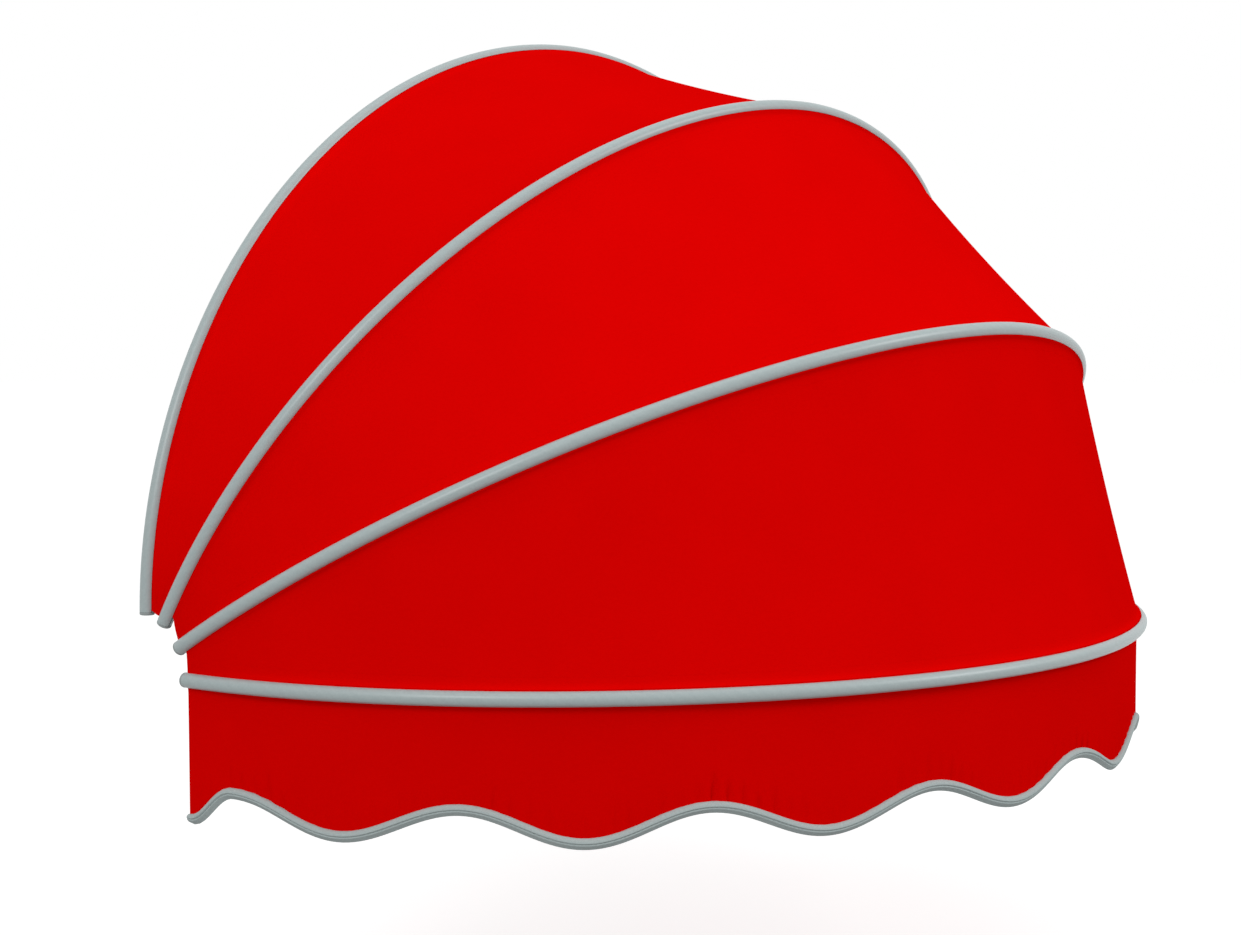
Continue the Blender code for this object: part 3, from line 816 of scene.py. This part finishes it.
screw = {
    "radius": 0.0021,
    "length": 0.013,
    "tip": 0.001,
    "tipShare": 0.6,
    "headRadius": 0.0042,
    "headHeight": 0.0035,
    "headEdge": 0.0003,
    "crown": ((0.62, 1), (0.85, 0.93), (0.97, 0.8), (1, 0.66)),  # shares of the head's height and radius
    "socket": 0.0020,
    "socketDepth": 0.0018,
    "sides": 36,
}


def seatOn(bow, reach):
    place = onBow(bow, 0, fan["endRadius"] + reach)
    return fan["axisY"] - place.y, place.z - fan["axisZ"]


def legX(reach):
    rise = min(max(reach / fan["rise"], 0), 1)
    return fan["halfWidth"] * (1 - rise ** fan["fullness"]) ** (1 / fan["fullness"])


def turnsLeft(a, b, c):
    return (b[0] - a[0]) * (c[1] - a[1]) - (b[1] - a[1]) * (c[0] - a[0])


def outlineRound(centres, radius, extra=()):
    points = [tuple(corner) for corner in extra]
    for centre in centres:
        for k in range(hinge["roundSteps"]):
            angle = 2 * math.pi * k / hinge["roundSteps"]
            points.append((centre[0] + radius * math.cos(angle), centre[1] + radius * math.sin(angle)))
    points = sorted(set(points))
    hull = []
    for ordered in (points, points[::-1]):
        part = []
        for point in ordered:
            while len(part) > 1 and turnsLeft(part[-2], part[-1], point) <= hinge["straightness"]:
                part.pop()
            part.append(point)
        hull += part[:-1]
    return hull


def rod(name, radius, length, start, axis, count):
    return turnedPiece(name, [(0, radius), (length, radius)], start, axis, count)


def prism(name, rings):
    return skinned(name, rings, [0.0, (rings[1][0] - rings[0][0]).length])


def boxPrism(name, low, high):
    rings = [[Vector((x, y, z)) for y, z in ((low[1], low[2]), (high[1], low[2]), (high[1], high[2]),
                                             (low[1], high[2]))] for x in (low[0], high[0])]
    return prism(name, rings)


# joins and cuts closed shapes, softens the edges, and leaves one plain mesh
def finishedSolid(piece, joined=(), cut=()):
    for other, operation in [(o, "UNION") for o in joined] + [(o, "DIFFERENCE") for o in cut]:
        modifier = piece.modifiers.new(operation.lower(), "BOOLEAN")
        modifier.operation, modifier.object, modifier.solver = operation, other, "EXACT"
    bevel = piece.modifiers.new("soft edges", "BEVEL")
    bevel.width, bevel.segments, bevel.limit_method = hinge["bevel"], hinge["bevelSegments"], "ANGLE"
    bevel.angle_limit = math.radians(hinge["bevelAngle"])
    bpy.context.view_layer.update()
    made = bpy.data.meshes.new_from_object(piece.evaluated_get(bpy.context.evaluated_depsgraph_get()))
    piece.modifiers.clear()
    piece.data = made
    made.shade_smooth()
    made.set_sharp_from_angle(angle=math.radians(hinge["bevelAngle"]))
    for other in (*joined, *cut):
        bpy.data.objects.remove(other)


def makePlate(name, seats, corners, layer, bosses, side):
    outline = outlineRound([seatOn(*seat) for seat in seats], hinge["linkRadius"], corners)
    rings = [[fromFan(side * x, *place) for place in outline] for x in (layer, layer - hinge["thickness"])]
    plate = prism(name, rings)
    made = []
    for bow, reach in bosses:
        start = fromFan(side * (layer - hinge["thickness"] / 2), *seatOn(bow, reach))
        length = legX(reach) - tube["radius"] - hinge["bossGap"] - layer + hinge["thickness"] / 2
        made.append(rod("boss", hinge["bossRadius"], length, start, Vector((side, 0, 0)), hinge["bossSides"]))
    return plate, made


def makeScrew(name, start, axis, body, node):
    head, high, socket = screw["headRadius"], screw["headHeight"], screw["socket"]
    length, radius, edge = screw["length"], screw["radius"], screw["headEdge"]
    profile = [(length, radius * screw["tipShare"]), (length - screw["tip"], radius), (0, radius),
               (0, head - edge), (-edge, head)]
    profile += [(-high * rise, head * share) for rise, share in screw["crown"]]
    profile += [(-high, socket), (-high + screw["socketDepth"], socket)]
    flats = (len(profile) - 2, len(profile) - 1)
    piece = turnedPiece(name, profile, start, axis, screw["sides"], flats)
    piece.data.materials.append(materials["screwSteel"])
    hold(piece, body, "screw_steel", node)


def makeHinges():
    innerOne, innerTwo = layerOne - hinge["thickness"], layerTwo - hinge["thickness"]
    for sideName, side in sides.items():
        sideways = Vector((side, 0, 0))
        flangeLow = fan["endRadius"] + hinge["wallReaches"][0] - hinge["flangeMargin"]
        flangeHigh = fan["endRadius"] + hinge["wallReaches"][1] + hinge["flangeMargin"]
        seats = [("wall", reach) for reach in hinge["wallReaches"]] + [("upper", hinge["pivotReach"])]
        corners = (fan["axisY"], flangeLow), (fan["axisY"], flangeHigh)
        bracket, bosses = makePlate(f"bracket_{sideName}", seats, corners, layerOne, seats, side)
        xs = sorted((side * (layerOne - hinge["flangeOverlap"]), side * (layerOne - hinge["flangeWidth"])))
        flange = boxPrism("flange", (xs[0], -hinge["thickness"], fan["axisZ"] + flangeLow),
                          (xs[1], 0, fan["axisZ"] + flangeHigh))
        holes = []
        holeX = side * (layerOne - (hinge["thickness"] + hinge["flangeWidth"]) / 2)
        for offset in (-0.5, 0.5):
            holeZ = fan["axisZ"] + (flangeLow + flangeHigh) / 2 + offset * hinge["holeSpacing"]
            start = Vector((holeX, hinge["holeStart"], holeZ))
            holes.append(rod("hole", hinge["holeRadius"], hinge["holeLength"], start, Vector((0, 1, 0)),
                             hinge["holeSides"]))
        finishedSolid(bracket, [flange, *bosses], holes)
        bracket.data.materials.append(materials["hingeSteel"])
        hold(bracket, "wall_frame", "hinge_steel", f"hinge_bracket_{sideName}")
        for bow, nextBow, layer in (("upper", "middle", layerTwo), ("middle", "front", layerOne),
                                    ("front", None, layerTwo)):
            seats = [(bow, hinge["pivotReach"]), (bow, hinge["fixingReach"])]
            seats += [(nextBow, hinge["pivotReach"])] if nextBow else []
            seated = seats if layer == layerOne else seats[1:2]
            link, bosses = makePlate(f"link_{bow}_{sideName}", seats, (), layer, seated, side)
            finishedSolid(link, bosses)
            link.data.materials.append(materials["hingeSteel"])
            hold(link, f"{bow}_frame", "hinge_steel", f"{bow}_link_{sideName}")
            fixingX = innerTwo if layer == layerTwo else innerOne
            uses = (("pivot", hinge["pivotReach"], innerTwo), ("bow", hinge["fixingReach"], fixingX))
            for use, reach, headX in uses:
                makeScrew(f"screw_{bow}_{use}_{sideName}", fromFan(side * headX, *seatOn(bow, reach)),
                          sideways, f"{bow}_frame", f"{bow}_{use}_screw_{sideName}")
        for level, reach in zip(("low", "high"), hinge["wallReaches"]):
            makeScrew(f"screw_wall_{level}_{sideName}", fromFan(side * innerOne, *seatOn("wall", reach)),
                      sideways, "wall_frame", f"wall_bow_screw_{level}_{sideName}")


makeHinges()
print("hinges ready")

# wall clips on the wall bow's arch
clip = {
    "thickness": 0.0040,
    "width": 0.030,
    "tab": 0.026,
    "rise": 0.0040,
    "footEnds": {"left": 0.0010, "top": 0.0080, "right": 0.0010},  # past the tube's middle
    "facets": {"left": 5, "top": 10, "right": 15},
    "legRun": 0.060,
    "archFacets": 19,
    "gap": 0.0003,
    "holeDepth": 3,  # thicknesses
}


def makeClips():
    forward = acrossAngle(0)
    firstTurn = math.asin((clip["legRun"] / fan["rise"]) ** (fan["fullness"] / 2))
    turns = [firstTurn + (math.pi - 2 * firstTurn) * k / clip["archFacets"]
             for k in range(clip["archFacets"] + 1)]
    path = [None] + [archPoint(turn) for turn in turns]  # the first facet is the straight leg
    for clipName, facet in clip["facets"].items():
        near, far = path[facet], path[facet + 1]
        flatRun = (far - near).normalized()
        run, outward = Vector((flatRun.x, 0, flatRun.y)), Vector((-flatRun.y, 0, flatRun.x))
        centre = onBow("wall", *((near + far) / 2))
        upright, thick = -(tube["radius"] + clip["gap"]), clip["thickness"]
        foot = -(tube["radius"] + clip["gap"] + thick)
        upperFoot = foot + thick
        footEnd = clip["footEnds"][clipName]
        outline = [(footEnd, foot), (footEnd, upperFoot), (upright, upperFoot), (upright, clip["rise"]),
                   (upright - thick, clip["rise"]), (upright - thick, upperFoot),
                   (upright - thick - clip["tab"], upperFoot), (upright - thick - clip["tab"], foot)]
        rings = [[centre + run * reach + outward * a + forward * b for a, b in outline]
                 for reach in (-clip["width"] / 2, clip["width"] / 2)]
        piece = prism(f"clip_{clipName}", rings)
        tab = centre + outward * (upright - thick - clip["tab"] / 2) + forward * (foot - thick)
        hole = rod("hole", hinge["holeRadius"], clip["holeDepth"] * thick, tab, forward, hinge["holeSides"])
        finishedSolid(piece, (), [hole])
        piece.data.materials.append(materials["hingeSteel"])
        hold(piece, "wall_frame", "hinge_steel", f"wall_clip_{clipName}")
        makeScrew(f"screw_clip_{clipName}", centre + outward * (upright - thick), outward, "wall_frame",
                  f"wall_clip_screw_{clipName}")


makeClips()
print("wall clips ready")

# stage, lights and camera
studio = {
    "floorDrop": 0.30,
    "floorReach": 40.0,
    "floorColour": (0.40, 0.40, 0.40),
    "shadowColour": (0.50, 0.51, 0.51),  # what the camera sees of the floor: this, lit, over an even glow
    "floorGlow": 0.72,
    "worldLight": 0.60,
    "lamps": {  # place, aim, watts, side of the square
        "over the awning": ((-0.2, -0.5, 2.4), (0, -0.3, -0.4), 12.0, 2.4),
        "front right": ((1.7, -3.8, 1.1), (0, -0.4, -0.5), 50.0, 1.4),
        "left": ((-3.9, -1.4, 1.5), (-0.2, -0.4, -0.5), 56.0, 1.4),
    },
    "cameraPlace": (-2.2163, -1.8172, -0.3964),
    "cameraAzimuth": -51.965,
    "cameraElevation": 3.3311,
    "cameraRoll": -0.1365,
    "lens": 60.472,
    "sensorWidth": 36.0,
    "clip": (0.05, 100),
}


# 1 where the camera sees a surface, also by a mirror or through glass, and 0 where it only gives light
def seenMask(tree):
    path = tree.nodes.new("ShaderNodeLightPath")
    bounced = sumNode(tree, "MAXIMUM", path.outputs["Is Glossy Ray"], path.outputs["Is Transmission Ray"])
    return sumNode(tree, "MAXIMUM", path.outputs["Is Camera Ray"], bounced)


def makeStage():
    low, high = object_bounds()
    floorZ = low.z - studio["floorDrop"]
    reach = studio["floorReach"]
    corners = [(x * reach, y * reach, floorZ) for x, y in ((-1, -1), (1, -1), (1, 1), (-1, 1))]
    mesh = bpy.data.meshes.new("floor")
    mesh.from_pydata(corners, [], [(0, 1, 2, 3)])
    floor = bpy.data.objects.new("floor", mesh)
    bpy.context.scene.collection.objects.link(floor)
    material = bpy.data.materials.new("paleFloor")
    material.use_nodes = True
    tree = material.node_tree
    tree.nodes.clear()
    shown = seenMask(tree)
    plain, faint = tree.nodes.new("ShaderNodeBsdfDiffuse"), tree.nodes.new("ShaderNodeBsdfDiffuse")
    glow = tree.nodes.new("ShaderNodeEmission")
    plain.inputs["Color"].default_value = (*studio["floorColour"], 1)
    faint.inputs["Color"].default_value = (*studio["shadowColour"], 1)
    glow.inputs["Strength"].default_value = studio["floorGlow"]
    both, mixed = tree.nodes.new("ShaderNodeAddShader"), tree.nodes.new("ShaderNodeMixShader")
    out = tree.nodes.new("ShaderNodeOutputMaterial")
    tree.links.new(faint.outputs[0], both.inputs[0])
    tree.links.new(glow.outputs[0], both.inputs[1])
    tree.links.new(shown, mixed.inputs[0])
    tree.links.new(plain.outputs[0], mixed.inputs[1])
    tree.links.new(both.outputs[0], mixed.inputs[2])
    tree.links.new(mixed.outputs[0], out.inputs["Surface"])
    mesh.materials.append(material)


def makeWorld():
    world = bpy.data.worlds.new("paleRoom")
    bpy.context.scene.world = world
    world.use_nodes = True
    tree = world.node_tree
    backdrop = tree.nodes["Background"]
    shown = seenMask(tree)
    strength = sumNode(tree, "MULTIPLY_ADD", shown, 1 - studio["worldLight"], studio["worldLight"])
    backdrop.inputs["Color"].default_value = (1, 1, 1, 1)
    tree.links.new(strength, backdrop.inputs["Strength"])


def makeLight(name, place, aim, power, size):
    lamp = bpy.data.lights.new(name, "AREA")
    lamp.energy, lamp.size = power, size
    holder = bpy.data.objects.new(name, lamp)
    holder.location = place
    holder.rotation_mode = "QUATERNION"
    holder.rotation_quaternion = (Vector(aim) - Vector(place)).to_track_quat("-Z", "Y")
    bpy.context.scene.collection.objects.link(holder)


def makeCamera():
    azimuth, elevation = math.radians(studio["cameraAzimuth"]), math.radians(studio["cameraElevation"])
    roll = math.radians(studio["cameraRoll"])
    right = Vector((math.cos(azimuth), math.sin(azimuth), 0))
    back = Vector((math.sin(azimuth) * math.cos(elevation), -math.cos(azimuth) * math.cos(elevation),
                   math.sin(elevation)))
    up = back.cross(right)
    turnedRight = right * math.cos(roll) + up * math.sin(roll)
    turnedUp = up * math.cos(roll) - right * math.sin(roll)
    camera = bpy.data.cameras.new("camera")
    camera.lens, camera.sensor_width = studio["lens"], studio["sensorWidth"]
    camera.clip_start, camera.clip_end = studio["clip"]
    holder = bpy.data.objects.new("camera", camera)
    place = studio["cameraPlace"]
    matrix = [[turnedRight[k], turnedUp[k], back[k], place[k]] for k in range(3)] + [[0, 0, 0, 1]]
    bpy.context.scene.collection.objects.link(holder)
    for row in range(4):
        for column in range(4):
            holder.matrix_world[row][column] = matrix[row][column]
    bpy.context.scene.camera = holder


makeStage()
makeWorld()
for lampName, lamp in studio["lamps"].items():
    makeLight(lampName, *lamp)
makeCamera()
bpy.context.scene.view_settings.view_transform = "Standard"
print("stage ready")
